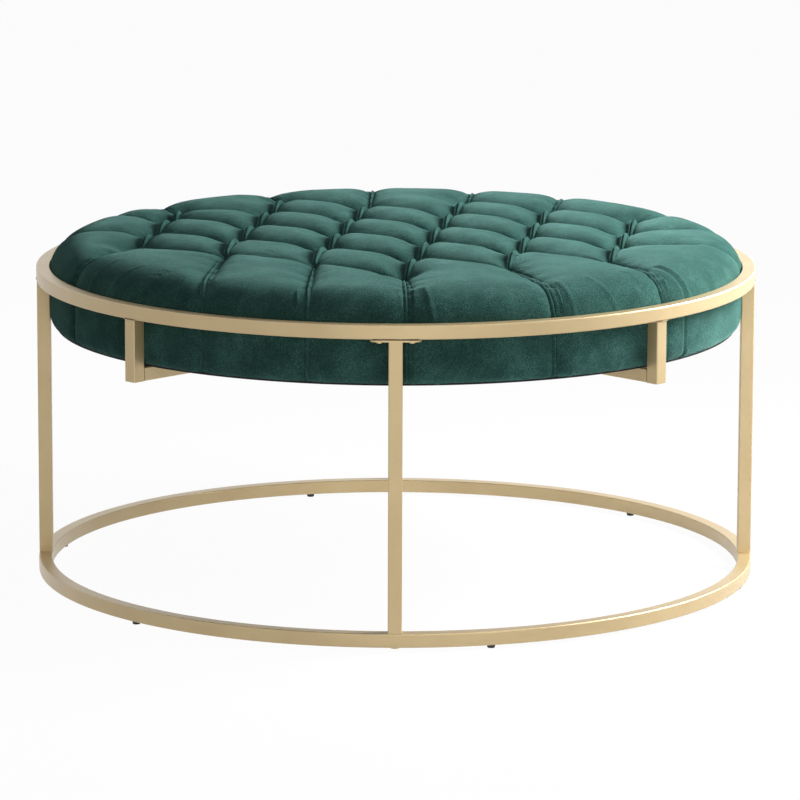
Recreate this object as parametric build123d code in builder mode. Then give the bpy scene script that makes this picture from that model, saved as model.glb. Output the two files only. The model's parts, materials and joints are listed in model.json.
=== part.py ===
"""Round ottoman coffee table: a tufted velvet cushion carried in a ring frame of square steel tube.

The origin is on the floor below the centre. +Z is up, and the front leg stands on the -Y side.
Angles are counted from the front leg towards the right, seen from in front. Sizes are millimetres.
"""
import os
from math import asin, cos, degrees, hypot, radians, sin, sqrt

from build123d import *

# Frame: two rings, four legs, four uprights and a cross of bars, all of one square tube
RING_DIAMETER = 1016.0
TUBE = 19.0
TUBE_WALL = 1.2
TUBE_CORNER = 1.6
TUBE_INNER_CORNER = 0.5
RING_SPACING = 399.0
CRADLE_DEPTH = 86.0
END_PLATE_THICKNESS = 1.5
LEG_ANGLES = {"front": 0.0, "right": 90.0, "back": 180.0, "left": 270.0}
UPRIGHT_ANGLES = {"front_right": 45.0, "back_right": 135.0, "back_left": 225.0, "front_left": 315.0}

# Leg plates and their screws
PLATE_LENGTH = 69.0
PLATE_THICKNESS = 2.5
PLATE_SCREW_SPACING = 43.0
SCREW_DIAMETER = 5.0
SCREW_LENGTH = 13.0
SCREW_HEAD_DIAMETER = 9.6
SCREW_HEAD_HEIGHT = 3.0
INSERT_DIAMETER = 7.4
INSERT_LENGTH = 11.0
INSERT_FLANGE_DIAMETER = 11.0
INSERT_FLANGE_THICKNESS = 0.8

# Leg bolts, from below the base ring into a threaded plug in each leg
BOLT_DIAMETER = 8.0
BOLT_HEAD_DIAMETER = 13.0
BOLT_HEAD_HEIGHT = 2.2
BOLT_HEAD_ROUNDING = 1.2
PLUG_LENGTH = 14.0

# Foot glides
FOOT_COUNT = 6
FOOT_START_ANGLE = 15.0
FOOT_HEIGHT = 5.0
FOOT_DIAMETER = 12.0
FOOT_SOLE_DIAMETER = 10.0
FOOT_SOLE_ROUNDING = 0.8
FOOT_STEM_DIAMETER = 6.0
FOOT_STEM_LENGTH = 9.0

# Fits
BORE_CLEARANCE = 0.3
THREAD_CLEARANCE = 0.1
PLUG_CLEARANCE = 0.15
CUSHION_CLEARANCE = 0.5
SOFT_CLEARANCE = 0.3
CUT_OVERRUN = 2.0

# Cushion: board, foam, tufted cover and dust cover
CUSHION_THICKNESS = 137.0
BOARD_THICKNESS = 15.0
COVER_LEAST_THICKNESS = 5.0
SIDE_PADDING = 18.0
CROWN_RISE = 5.0
SHOULDER_WIDTH = 60.0
SHOULDER_DROP = 45.0
LOWER_ROUNDING = 16.0
HEM_THICKNESS = 1.2
HEM_WIDTH = 44.0
DUST_COVER_THICKNESS = 0.8
DUST_COVER_OVERLAP = 34.0

# Tufting: a diamond lattice turned to one side, with folds between the tufts and pleats to the rim
DIAMOND_LENGTH = 232.0
DIAMOND_WIDTH = 153.0
DIAMOND_TURN = 27.2
DIAMOND_SKEW = 5.6
TUFT_MIDDLE = (-13.5, -5.6)
FOLD_HALF_WIDTH = 64.0
FOLD_DEPTH = 24.0
TUFT_RADIUS = 70.0
TUFT_ARC_RADIUS = 60.0
TUFT_ARC_SWEEP = 50.0
TUFT_FLOOR_RADIUS = 4.0
TUFT_DEPTH = 38.0
TUFT_COLUMNS = {-2: (-2.5, 0.5), -1: (-2.5, 1.5), 0: (-2.5, 2.5), 1: (-2.5, 2.5), 2: (-1.5, 2.5), 3: (0.5, 2.5)}
TUFT_MOVES = {(1, -2.5): (-7.0, -51.0)}
PLEAT_ANGLES = {
    (-2, -2.5): -65.8,
    (-2, -1.5): -31.7,
    (-2, -0.5): -13.9,
    (-2, 0.5): 4.0,
    (-1, 1.5): 26.3,
    (0, 2.5): 48.7,
    (2, 2.5): 101.0,
    (3, 2.5): 118.4,
    (3, 1.5): 148.8,
    (3, 0.5): 166.1,
    (2, -0.5): 184.4,
    (2, -1.5): 205.6,
    (1, -2.5): 228.6,
    (0, -2.5): 245.0,
    (-1, -2.5): 264.0,
}
PLEAT_TUFT_HALF_WIDTH = 44.0
PLEAT_HALF_WIDTH = 15.0
PLEAT_DEPTH = 8.0
PLEAT_TUFT_DEPTH = 24.0
WALL_PLEAT_DEPTH = 4.0
PLEAT_STEP_SHARES = (0.0, 0.75, 0.95)

# Tuft ties, seat screws and tee nuts
TIE_DIAMETER = 2.4
SEAT_SCREW_RADIUS = 300.0
SEAT_SCREW_DIAMETER = 6.0
SEAT_SCREW_HEAD_DIAMETER = 12.0
SEAT_SCREW_HEAD_HEIGHT = 3.2
TEE_NUT_DIAMETER = 8.4
TEE_NUT_FLANGE_DIAMETER = 19.0
TEE_NUT_FLANGE_THICKNESS = 1.5
TEE_NUT_DEPTH = 11.0

# Places worked out from the sizes above
RING_RADIUS = RING_DIAMETER / 2
TUBE_MID_RADIUS = RING_RADIUS - TUBE / 2
RING_INNER_RADIUS = RING_RADIUS - TUBE
BASE_RING_BOTTOM = FOOT_HEIGHT
BASE_RING_TOP = BASE_RING_BOTTOM + TUBE
TOP_RING_BOTTOM = BASE_RING_TOP + RING_SPACING
PLATE_TOP = TOP_RING_BOTTOM - INSERT_FLANGE_THICKNESS
PLATE_BOTTOM = PLATE_TOP - PLATE_THICKNESS
BAR_BOTTOM = TOP_RING_BOTTOM - CRADLE_DEPTH
BAR_TOP = BAR_BOTTOM + TUBE
COVER_BOTTOM = BAR_TOP + DUST_COVER_THICKNESS
BOARD_BOTTOM = COVER_BOTTOM + HEM_THICKNESS
BOARD_TOP = BOARD_BOTTOM + BOARD_THICKNESS
CREST = BAR_TOP + CUSHION_THICKNESS
FOAM_TOP = CREST - TUFT_DEPTH - COVER_LEAST_THICKNESS
COVER_RADIUS = RING_INNER_RADIUS - CUSHION_CLEARANCE
SHOULDER_START = COVER_RADIUS - SHOULDER_WIDTH
SHOULDER_TOP = CREST - CROWN_RISE
SHOULDER_BOTTOM = SHOULDER_TOP - SHOULDER_DROP
PAD_RADIUS = COVER_RADIUS - SIDE_PADDING
FOOT_ANGLES = [FOOT_START_ANGLE + 360 * index / FOOT_COUNT for index in range(FOOT_COUNT)]


def station(angle, radius, height):
    """A level plane at a radius: its X runs along the ring to the right and its Y points inwards."""
    turn = radians(angle)
    origin = (radius * sin(turn), -radius * cos(turn), height)
    return Plane(origin=origin, x_dir=(cos(turn), sin(turn), 0), z_dir=(0, 0, 1))


def finish(builder, name):
    """Label a finished piece and write its STEP file."""
    builder.part.label = name
    export_step(builder.part, f"parts/{name}.step")


def tube_section():
    """The hollow square section of the frame tube, in the sketch that is open."""
    RectangleRounded(TUBE, TUBE, TUBE_CORNER)
    bore = TUBE - 2 * TUBE_WALL
    RectangleRounded(bore, bore, TUBE_INNER_CORNER, mode=Mode.SUBTRACT)


def straight_tube(plane, length):
    """A straight length of frame tube that starts on a plane."""
    with BuildPart() as tube:
        with BuildSketch(plane):
            tube_section()
        extrude(amount=length)
    return tube


def plate_screw_planes(height):
    """Level planes at the two screws of each leg plate."""
    planes = []
    for angle in LEG_ANGLES.values():
        middle = station(angle, TUBE_MID_RADIUS, height)
        for side in (-1, 1):
            place = middle.origin + middle.x_dir * (side * PLATE_SCREW_SPACING / 2)
            planes.append(Plane(origin=place, x_dir=middle.x_dir, z_dir=middle.z_dir))
    return planes


def polar_planes(angles, radius, height):
    """Level planes at one radius and height, one for each angle."""
    return [station(angle, radius, height) for angle in angles]


def cut_bores(planes, diameter, depth):
    """Cut a round bore upwards from each plane in the part that is open."""
    for plane in planes:
        with BuildSketch(plane) as bore:
            Circle(diameter / 2)
        extrude(bore.sketch, amount=depth, mode=Mode.SUBTRACT)


os.makedirs("parts", exist_ok=True)

# Base ring, with bores for the leg bolts and the foot stems
with BuildPart() as base_ring:
    with BuildSketch(Plane.XZ):
        with Locations((TUBE_MID_RADIUS, BASE_RING_BOTTOM + TUBE / 2)):
            tube_section()
    revolve(axis=Axis.Z)
    bolt_planes = polar_planes(LEG_ANGLES.values(), TUBE_MID_RADIUS, BASE_RING_BOTTOM - CUT_OVERRUN)
    cut_bores(bolt_planes, BOLT_DIAMETER + 2 * BORE_CLEARANCE, TUBE + 2 * CUT_OVERRUN)
    foot_planes = polar_planes(FOOT_ANGLES, TUBE_MID_RADIUS, BASE_RING_BOTTOM - CUT_OVERRUN)
    cut_bores(foot_planes, FOOT_STEM_DIAMETER + 2 * BORE_CLEARANCE, TUBE_WALL + 2 * CUT_OVERRUN)
finish(base_ring, "base_ring")

# Top ring, with bores for the threaded inserts
with BuildPart() as top_ring:
    with BuildSketch(Plane.XZ):
        with Locations((TUBE_MID_RADIUS, TOP_RING_BOTTOM + TUBE / 2)):
            tube_section()
    revolve(axis=Axis.Z)
    insert_planes = plate_screw_planes(TOP_RING_BOTTOM - CUT_OVERRUN)
    cut_bores(insert_planes, INSERT_DIAMETER + 2 * BORE_CLEARANCE, TUBE_WALL + 2 * CUT_OVERRUN)
finish(top_ring, "top_ring")

# Legs and the plates welded to their tops
for side, angle in LEG_ANGLES.items():
    leg = straight_tube(station(angle, TUBE_MID_RADIUS, BASE_RING_TOP), PLATE_BOTTOM - BASE_RING_TOP)
    finish(leg, f"leg_{side}")
    with BuildPart() as leg_plate:
        with BuildSketch(station(angle, TUBE_MID_RADIUS, PLATE_BOTTOM)):
            SlotOverall(PLATE_LENGTH, TUBE)
            with GridLocations(PLATE_SCREW_SPACING, 0, 2, 1):
                Circle(SCREW_DIAMETER / 2 + BORE_CLEARANCE, mode=Mode.SUBTRACT)
        extrude(amount=PLATE_THICKNESS)
    finish(leg_plate, f"leg_plate_{side}")

# Threaded inserts in the top ring, whose flanges hold the plates a hairline below it
with BuildPart() as ring_inserts:
    for plane in plate_screw_planes(PLATE_TOP):
        with BuildSketch(plane):
            Circle(INSERT_FLANGE_DIAMETER / 2)
    extrude(amount=INSERT_FLANGE_THICKNESS)
    for plane in plate_screw_planes(TOP_RING_BOTTOM):
        with BuildSketch(plane):
            Circle(INSERT_DIAMETER / 2)
    extrude(amount=INSERT_LENGTH)
    insert_bore = SCREW_DIAMETER + 2 * THREAD_CLEARANCE
    cut_bores(plate_screw_planes(PLATE_TOP), insert_bore, INSERT_FLANGE_THICKNESS + INSERT_LENGTH)
finish(ring_inserts, "ring_inserts")

# Round-headed screws up through the plates
with BuildPart() as plate_screws:
    for plane in plate_screw_planes(PLATE_BOTTOM):
        with BuildSketch(plane):
            Circle(SCREW_HEAD_DIAMETER / 2)
    extrude(amount=-SCREW_HEAD_HEIGHT)
    fillet(plate_screws.faces().group_by(Axis.Z)[0].edges(), SCREW_HEAD_HEIGHT / 2)
    for plane in plate_screw_planes(PLATE_BOTTOM):
        with BuildSketch(plane):
            Circle(SCREW_DIAMETER / 2)
    extrude(amount=SCREW_LENGTH)
finish(plate_screws, "plate_screws")

# Threaded plugs in the feet of the legs
with BuildPart() as leg_plugs:
    for plane in polar_planes(LEG_ANGLES.values(), TUBE_MID_RADIUS, BASE_RING_TOP):
        with BuildSketch(plane):
            plug_side = TUBE - 2 * TUBE_WALL - 2 * PLUG_CLEARANCE
            RectangleRounded(plug_side, plug_side, TUBE_INNER_CORNER)
            Circle(BOLT_DIAMETER / 2 + THREAD_CLEARANCE, mode=Mode.SUBTRACT)
    extrude(amount=PLUG_LENGTH)
finish(leg_plugs, "leg_plugs")

# Bolts up through the base ring into the plugs
with BuildPart() as leg_bolts:
    for plane in polar_planes(LEG_ANGLES.values(), TUBE_MID_RADIUS, BASE_RING_BOTTOM):
        with BuildSketch(plane):
            Circle(BOLT_HEAD_DIAMETER / 2)
    extrude(amount=-BOLT_HEAD_HEIGHT)
    fillet(leg_bolts.faces().group_by(Axis.Z)[0].edges(), BOLT_HEAD_ROUNDING)
    for plane in polar_planes(LEG_ANGLES.values(), TUBE_MID_RADIUS, BASE_RING_BOTTOM):
        with BuildSketch(plane):
            Circle(BOLT_DIAMETER / 2)
    extrude(amount=TUBE + PLUG_LENGTH)
finish(leg_bolts, "leg_bolts")

# Foot glides, each with a stem up into the base ring
for number, angle in enumerate(FOOT_ANGLES, start=1):
    with BuildPart() as foot:
        with BuildSketch(station(angle, TUBE_MID_RADIUS, 0)):
            Circle(FOOT_SOLE_DIAMETER / 2)
        with BuildSketch(station(angle, TUBE_MID_RADIUS, FOOT_HEIGHT)):
            Circle(FOOT_DIAMETER / 2)
        loft()
        fillet(foot.faces().sort_by(Axis.Z)[0].edges(), FOOT_SOLE_ROUNDING)
        with BuildSketch(station(angle, TUBE_MID_RADIUS, FOOT_HEIGHT)):
            Circle(FOOT_STEM_DIAMETER / 2)
        extrude(amount=FOOT_STEM_LENGTH)
    finish(foot, f"foot_{number}")

# Cradle uprights, welded under the top ring
for side, angle in UPRIGHT_ANGLES.items():
    upright = straight_tube(station(angle, TUBE_MID_RADIUS, BAR_BOTTOM), CRADLE_DEPTH)
    finish(upright, f"upright_{side}")

# Plates welded flush into the lower ends of the uprights
with BuildPart() as upright_ends:
    for plane in polar_planes(UPRIGHT_ANGLES.values(), TUBE_MID_RADIUS, BAR_BOTTOM):
        with BuildSketch(plane):
            tube_bore = TUBE - 2 * TUBE_WALL
            RectangleRounded(tube_bore, tube_bore, TUBE_INNER_CORNER)
    extrude(amount=END_PLATE_THICKNESS)
finish(upright_ends, "upright_ends")


def bar_plane(angle, radius):
    """The upright plane across a bar: its normal points inwards from the angle's side."""
    turn = radians(angle)
    origin = (radius * sin(turn), -radius * cos(turn), BAR_BOTTOM + TUBE / 2)
    return Plane(origin=origin, x_dir=(cos(turn), sin(turn), 0), z_dir=(-sin(turn), cos(turn), 0))


def cradle_bar(angle, length):
    """A bar that runs inwards from an upright, with bores for the seat screws that it meets."""
    with BuildPart() as bar:
        with BuildSketch(bar_plane(angle, RING_INNER_RADIUS)):
            tube_section()
        extrude(amount=length)
        screw_planes = polar_planes(UPRIGHT_ANGLES.values(), SEAT_SCREW_RADIUS, BAR_BOTTOM - CUT_OVERRUN)
        cut_bores(screw_planes, SEAT_SCREW_DIAMETER + 2 * BORE_CLEARANCE, TUBE + 2 * CUT_OVERRUN)
    return bar


# Cross under the cushion: one whole bar and two halves that butt against it
finish(cradle_bar(UPRIGHT_ANGLES["front_right"], 2 * RING_INNER_RADIUS), "cross_bar_whole")
for side in ("front_left", "back_right"):
    finish(cradle_bar(UPRIGHT_ANGLES[side], RING_INNER_RADIUS - TUBE / 2), f"cross_bar_{side}")

# The tuft lattice: two edges of one diamond, and every tuft's place on the plan, short of the shoulder
short_turn = radians(DIAMOND_TURN - DIAMOND_SKEW)
half_long = Vector(-sin(radians(DIAMOND_TURN)), cos(radians(DIAMOND_TURN))) * (DIAMOND_LENGTH / 2)
half_short = Vector(cos(short_turn), sin(short_turn)) * (DIAMOND_WIDTH / 2)
away_step = half_short + half_long
across_step = half_short - half_long


def tuft_place(row, column):
    """Plan place of the tuft at a row and column of the lattice."""
    move = Vector(*TUFT_MOVES.get((row, column), (0, 0)))
    return Vector(*TUFT_MIDDLE) + away_step * row + across_step * column + move


tufts = []
for row, (first, last) in TUFT_COLUMNS.items():
    tufts += [(row, first + index) for index in range(int(last - first) + 1)]
tufts = [tuft for tuft in tufts if tuft_place(*tuft).length < SHOULDER_START]


def fold_lines():
    """The first and last tuft on every straight fold of both families, then each moved tuft's own folds."""
    lines = []
    lined_up = [tuft for tuft in tufts if tuft not in TUFT_MOVES]
    for row in sorted({row for row, column in lined_up}):
        columns = [column for other, column in lined_up if other == row]
        lines.append(((row, min(columns)), (row, max(columns))))
    for column in sorted({column for row, column in lined_up}):
        rows = [row for row, other in lined_up if other == column]
        lines.append(((min(rows), column), (max(rows), column)))
    for row, column in TUFT_MOVES:
        beside = [(row - 1, column), (row + 1, column), (row, column - 1), (row, column + 1)]
        lines += [((row, column), other) for other in beside if {(row, column), other} <= set(tufts)]
    return [(first, last) for first, last in lines if first != last]


def upright_plane(start, direction, height):
    """An upright plane across a direction on the plan, with its Y upwards."""
    along = Vector(direction.X, direction.Y, 0).normalized()
    origin = Vector(start.X, start.Y, height)
    return Plane(origin=origin, x_dir=along.cross(Vector(0, 0, 1)), z_dir=-along)


def fold_cutter(start, end):
    """The hollow of one straight fold between two tufts: two arcs that meet in a valley."""
    with BuildSketch(upright_plane(start, start - end, CREST)) as section:
        with BuildLine():
            drop = FOLD_DEPTH + CUT_OVERRUN
            radius = (FOLD_HALF_WIDTH**2 + drop**2) / (2 * drop)
            sweep = degrees(asin(FOLD_HALF_WIDTH / radius))
            CenterArc((FOLD_HALF_WIDTH, CUT_OVERRUN - radius), radius, 90, sweep)
            mirror(about=Plane.YZ)
            Line((-FOLD_HALF_WIDTH, CUT_OVERRUN), (FOLD_HALF_WIDTH, CUT_OVERRUN))
        make_face()
    return extrude(section.sketch, amount=(end - start).length, mode=Mode.PRIVATE)


def tuft_cutter(place):
    """The dimple of one tuft, round its upright axis: a rounded lip, then a cone to a small floor."""
    with BuildSketch(upright_plane(place, Vector(0, 1, 0), CREST)) as section:
        with BuildLine():
            centre = (TUFT_RADIUS, CUT_OVERRUN - TUFT_ARC_RADIUS)
            lip = CenterArc(centre, TUFT_ARC_RADIUS, 90, TUFT_ARC_SWEEP)
            floor = (TUFT_FLOOR_RADIUS, -TUFT_DEPTH)
            Polyline(lip @ 1, floor, (0, -TUFT_DEPTH), (0, CUT_OVERRUN), lip @ 0)
        make_face()
    return revolve(section.sketch, axis=Axis((place.X, place.Y, CREST), (0, 0, 1)), mode=Mode.PRIVATE)


def cover_height(radius):
    """Height of the plain cover at a radius: the crown, then the rounded shoulder."""
    if radius <= SHOULDER_START:
        return CREST - CROWN_RISE * (radius / SHOULDER_START) ** 2
    share = min((radius - SHOULDER_START) / SHOULDER_WIDTH, 1)
    return SHOULDER_TOP - SHOULDER_DROP * (1 - sqrt(1 - share**2))


def pleat_section(place, direction, height, half_width, depth):
    """One section of a pleat: a valley below the cover, open above it."""
    with BuildSketch(upright_plane(place, direction, height)) as section:
        with BuildLine():
            Polyline((-half_width, CUT_OVERRUN), (half_width, CUT_OVERRUN), (0, -depth), close=True)
        make_face()
    return section.sketch


def pleat_cutters(place, angle):
    """A pleat's two hollows: from a border tuft over the shoulder, then down the side to the hem."""
    rim = station(angle, COVER_RADIUS, CREST).origin
    run = Vector(rim.X - place.X, rim.Y - place.Y)
    sections = []
    for share in PLEAT_STEP_SHARES:
        point = place + run * share
        taper = min(share / PLEAT_STEP_SHARES[1], 1)
        half_width = PLEAT_TUFT_HALF_WIDTH + (PLEAT_HALF_WIDTH - PLEAT_TUFT_HALF_WIDTH) * taper
        depth = PLEAT_TUFT_DEPTH + (PLEAT_DEPTH - PLEAT_TUFT_DEPTH) * taper
        height = cover_height(hypot(point.X, point.Y))
        sections.append(pleat_section(point, run * -1, height, half_width, depth))
    outside = place + run * (1 + CUT_OVERRUN / run.length)
    sections.append(pleat_section(outside, run * -1, SHOULDER_BOTTOM, PLEAT_HALF_WIDTH, PLEAT_DEPTH))
    over_shoulder = loft(sections, ruled=True, mode=Mode.PRIVATE)
    with BuildSketch(station(angle, COVER_RADIUS, COVER_BOTTOM - CUT_OVERRUN)) as groove:
        with BuildLine():
            start = (-PLEAT_HALF_WIDTH / 2, -CUT_OVERRUN)
            end = (PLEAT_HALF_WIDTH / 2, -CUT_OVERRUN)
            Polyline(start, end, (0, WALL_PLEAT_DEPTH), close=True)
        make_face()
    height = SHOULDER_BOTTOM - COVER_BOTTOM + CUT_OVERRUN
    return [over_shoulder, extrude(groove.sketch, amount=height, mode=Mode.PRIVATE)]


# Every pleat whose tuft stands on the cover
pleats = {tuft: angle for tuft, angle in PLEAT_ANGLES.items() if tuft in tufts}

# Tufted cover: velvet over soft wadding, open below for the foam and the board, hemmed under the board
with BuildPart() as tufted_cover:
    with BuildSketch(Plane.XZ):
        with BuildLine():
            half_shoulder = SHOULDER_START + SHOULDER_WIDTH / sqrt(2)
            half_crown = SHOULDER_START / 2
            ThreePointArc((0, CREST), (half_crown, cover_height(half_crown)), (SHOULDER_START, SHOULDER_TOP))
            middle = (half_shoulder, cover_height(half_shoulder))
            ThreePointArc((SHOULDER_START, SHOULDER_TOP), middle, (COVER_RADIUS, SHOULDER_BOTTOM))
            Line((COVER_RADIUS, SHOULDER_BOTTOM), (COVER_RADIUS, COVER_BOTTOM + LOWER_ROUNDING))
            roll_centre = (COVER_RADIUS - LOWER_ROUNDING, COVER_BOTTOM + LOWER_ROUNDING)
            CenterArc(roll_centre, LOWER_ROUNDING, 0, -90)
            hem_edge = COVER_RADIUS - LOWER_ROUNDING - HEM_WIDTH
            inner_radius = PAD_RADIUS + SOFT_CLEARANCE
            Polyline(
                (COVER_RADIUS - LOWER_ROUNDING, COVER_BOTTOM),
                (hem_edge, COVER_BOTTOM),
                (hem_edge, BOARD_BOTTOM),
                (inner_radius, BOARD_BOTTOM),
                (inner_radius, FOAM_TOP),
                (0, FOAM_TOP),
                (0, CREST),
            )
        make_face()
    revolve(axis=Axis.Z)
    dimples = [tuft_cutter(tuft_place(*tuft)) for tuft in tufts]
    add(dimples, mode=Mode.SUBTRACT, clean=False)
    folds = [fold_cutter(tuft_place(*first), tuft_place(*last)) for first, last in fold_lines()]
    add(folds, mode=Mode.SUBTRACT, clean=False)
    hollows = [hollow for tuft, angle in pleats.items() for hollow in pleat_cutters(tuft_place(*tuft), angle)]
    add(hollows, mode=Mode.SUBTRACT)
finish(tufted_cover, "tufted_cover")

# Plan places of the ties and the seat screws
tie_places = [(tuft_place(row, column).X, tuft_place(row, column).Y) for row, column in tufts]
seat_screw_places = [
    (plane.origin.X, plane.origin.Y) for plane in polar_planes(UPRIGHT_ANGLES.values(), SEAT_SCREW_RADIUS, 0)
]

# Seat board, bored for the ties and for the tee nuts, whose flanges lie flush in its top
with BuildPart() as seat_board:
    with BuildSketch(Plane.XY.offset(BOARD_BOTTOM)):
        Circle(PAD_RADIUS)
        with Locations(*tie_places):
            Circle(TIE_DIAMETER / 2 + BORE_CLEARANCE, mode=Mode.SUBTRACT)
        with Locations(*seat_screw_places):
            Circle(TEE_NUT_DIAMETER / 2 + BORE_CLEARANCE, mode=Mode.SUBTRACT)
    extrude(amount=BOARD_THICKNESS)
    with BuildSketch(Plane.XY.offset(BOARD_TOP)):
        with Locations(*seat_screw_places):
            Circle(TEE_NUT_FLANGE_DIAMETER / 2 + BORE_CLEARANCE)
    extrude(amount=-TEE_NUT_FLANGE_THICKNESS, mode=Mode.SUBTRACT)
finish(seat_board, "seat_board")

# Firm foam pad on the board, bored for the ties
with BuildPart() as foam_pad:
    with BuildSketch(Plane.XY.offset(BOARD_TOP)):
        Circle(PAD_RADIUS)
        with Locations(*tie_places):
            Circle(TIE_DIAMETER / 2 + BORE_CLEARANCE, mode=Mode.SUBTRACT)
    extrude(amount=FOAM_TOP - BOARD_TOP)
finish(foam_pad, "foam_pad")

# Twine ties that pull the tufts down to the board
with BuildPart() as tuft_ties:
    with BuildSketch(Plane.XY.offset(BOARD_BOTTOM)):
        with Locations(*tie_places):
            Circle(TIE_DIAMETER / 2)
    extrude(amount=FOAM_TOP - BOARD_BOTTOM)
finish(tuft_ties, "tuft_ties")

# Dust cover, stretched under the board over the hem
with BuildPart() as dust_cover:
    with BuildSketch(Plane.XY.offset(BAR_TOP)):
        Circle(hem_edge + DUST_COVER_OVERLAP)
        with Locations(*seat_screw_places):
            Circle(SEAT_SCREW_DIAMETER / 2 + BORE_CLEARANCE, mode=Mode.SUBTRACT)
    extrude(amount=DUST_COVER_THICKNESS)
finish(dust_cover, "dust_cover")

# Tee nuts, dropped into the board from above
with BuildPart() as tee_nuts:
    with BuildSketch(Plane.XY.offset(BOARD_TOP)):
        with Locations(*seat_screw_places):
            Circle(TEE_NUT_FLANGE_DIAMETER / 2)
            Circle(SEAT_SCREW_DIAMETER / 2 + THREAD_CLEARANCE, mode=Mode.SUBTRACT)
    extrude(amount=-TEE_NUT_FLANGE_THICKNESS)
    with BuildSketch(Plane.XY.offset(BOARD_TOP - TEE_NUT_FLANGE_THICKNESS)):
        with Locations(*seat_screw_places):
            Circle(TEE_NUT_DIAMETER / 2)
            Circle(SEAT_SCREW_DIAMETER / 2 + THREAD_CLEARANCE, mode=Mode.SUBTRACT)
    extrude(amount=-(TEE_NUT_DEPTH - TEE_NUT_FLANGE_THICKNESS))
finish(tee_nuts, "tee_nuts")

# Screws from below, through the cross of bars into the tee nuts
with BuildPart() as seat_screws:
    with BuildSketch(Plane.XY.offset(BAR_BOTTOM)):
        with Locations(*seat_screw_places):
            Circle(SEAT_SCREW_HEAD_DIAMETER / 2)
    extrude(amount=-SEAT_SCREW_HEAD_HEIGHT)
    fillet(seat_screws.faces().group_by(Axis.Z)[0].edges(), SEAT_SCREW_HEAD_HEIGHT / 2)
    with BuildSketch(Plane.XY.offset(BAR_BOTTOM)):
        with Locations(*seat_screw_places):
            Circle(SEAT_SCREW_DIAMETER / 2)
    extrude(amount=BOARD_TOP - BAR_BOTTOM)
finish(seat_screws, "seat_screws")
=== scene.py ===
"""Round ottoman coffee table: the tufted velvet cushion, the finishes, the light and the camera.

Everything is in metres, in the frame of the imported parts: the origin is on the floor below the centre,
+Z is up and the front leg stands on the -Y side. Angles on the plan are counted from the front leg
towards the right, seen from in front.
"""
import json
from math import cos, radians, sin

import bpy
import numpy as np
from mathutils import Matrix, Vector


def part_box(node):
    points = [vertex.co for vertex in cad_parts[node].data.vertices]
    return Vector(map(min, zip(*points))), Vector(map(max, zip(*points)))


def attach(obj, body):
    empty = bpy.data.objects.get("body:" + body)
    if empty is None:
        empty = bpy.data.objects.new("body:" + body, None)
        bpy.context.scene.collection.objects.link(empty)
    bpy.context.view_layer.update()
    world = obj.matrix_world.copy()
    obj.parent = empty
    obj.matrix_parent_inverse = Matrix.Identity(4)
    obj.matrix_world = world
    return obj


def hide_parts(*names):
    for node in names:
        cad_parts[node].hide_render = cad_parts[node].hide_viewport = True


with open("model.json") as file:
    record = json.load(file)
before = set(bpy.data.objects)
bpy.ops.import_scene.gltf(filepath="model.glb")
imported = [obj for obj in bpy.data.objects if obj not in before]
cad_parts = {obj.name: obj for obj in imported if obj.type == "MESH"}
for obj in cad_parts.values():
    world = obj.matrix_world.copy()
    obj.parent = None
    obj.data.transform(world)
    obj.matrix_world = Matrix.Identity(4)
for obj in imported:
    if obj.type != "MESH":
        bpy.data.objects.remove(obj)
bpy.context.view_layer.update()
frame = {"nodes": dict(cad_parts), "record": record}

MM = 0.001

# Keeps a division by a length away from zero
LEAST_LENGTH = 1e-9

# The photograph's camera, as shares of the rings' radius and in pixels of its 800-pixel frame
PHOTO_PIXELS = 800
FOCAL_PIXELS = 5143.2
CAMERA_DISTANCE_SHARE = 14.1383
CAMERA_HEIGHT_SHARE = 3.22091
CAMERA_PITCH = 11.012
CAMERA_ROLL = 0.18
CAMERA_YAW = 0.051
SENSOR_WIDTH = 36.0
CAMERA_REACH = 100.0

# Cushion, below the sizes that the frame gives
CROWN_RISE = 8 * MM
SHOULDER_WIDTH = 62 * MM
SHOULDER_DROP = 46 * MM
LOWER_ROUNDING = 16 * MM
HEM_WIDTH = 44 * MM
RING_CLEARANCE = 0.2 * MM

# Points along the cover's section, and how many of them lie on its top, short of the wall
CROWN_POINTS = 400
SHOULDER_POINTS = 300
WALL_POINTS = 200
HEM_POINTS = 80
TOP_POINTS = 690

# Tufting lattice: its diamond, its middle, each row's columns, and the tufts that stand off the lattice
DIAMOND_LENGTH = 232 * MM
DIAMOND_WIDTH = 153 * MM
DIAMOND_TURN = 27.2
DIAMOND_SKEW = 5.6
TUFT_MIDDLE = (-13.5 * MM, -5.6 * MM)
TUFT_COLUMNS = {
    -2: (-2.5, 0.5),
    -1: (-2.5, 1.5),
    0: (-2.5, 2.5),
    1: (-2.5, 2.5),
    2: (-1.5, 2.5),
    3: (0.5, 2.5),
}
TUFT_MOVES = {(1, -2.5): (-7 * MM, -51 * MM)}

# The pleats by their tufts, and the angle at which each crosses the rim
PLEAT_ANGLES = {
    (-2, -2.5): -65.8,
    (-2, -1.5): -32.4,
    (-2, -0.5): -14.4,
    (-2, 0.5): 1.9,
    (-1, 1.5): 26.1,
    (0, 2.5): 48.7,
    (1, 2.5): 84.0,
    (2, 2.5): 101.0,
    (3, 2.5): 118.4,
    (3, 1.5): 148.8,
    (3, 0.5): 166.1,
    (2, -0.5): 184.4,
    (2, -1.5): 205.6,
    (1, -2.5): 228.6,
    (0, -2.5): 245.0,
    (-1, -2.5): 264.0,
}

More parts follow.
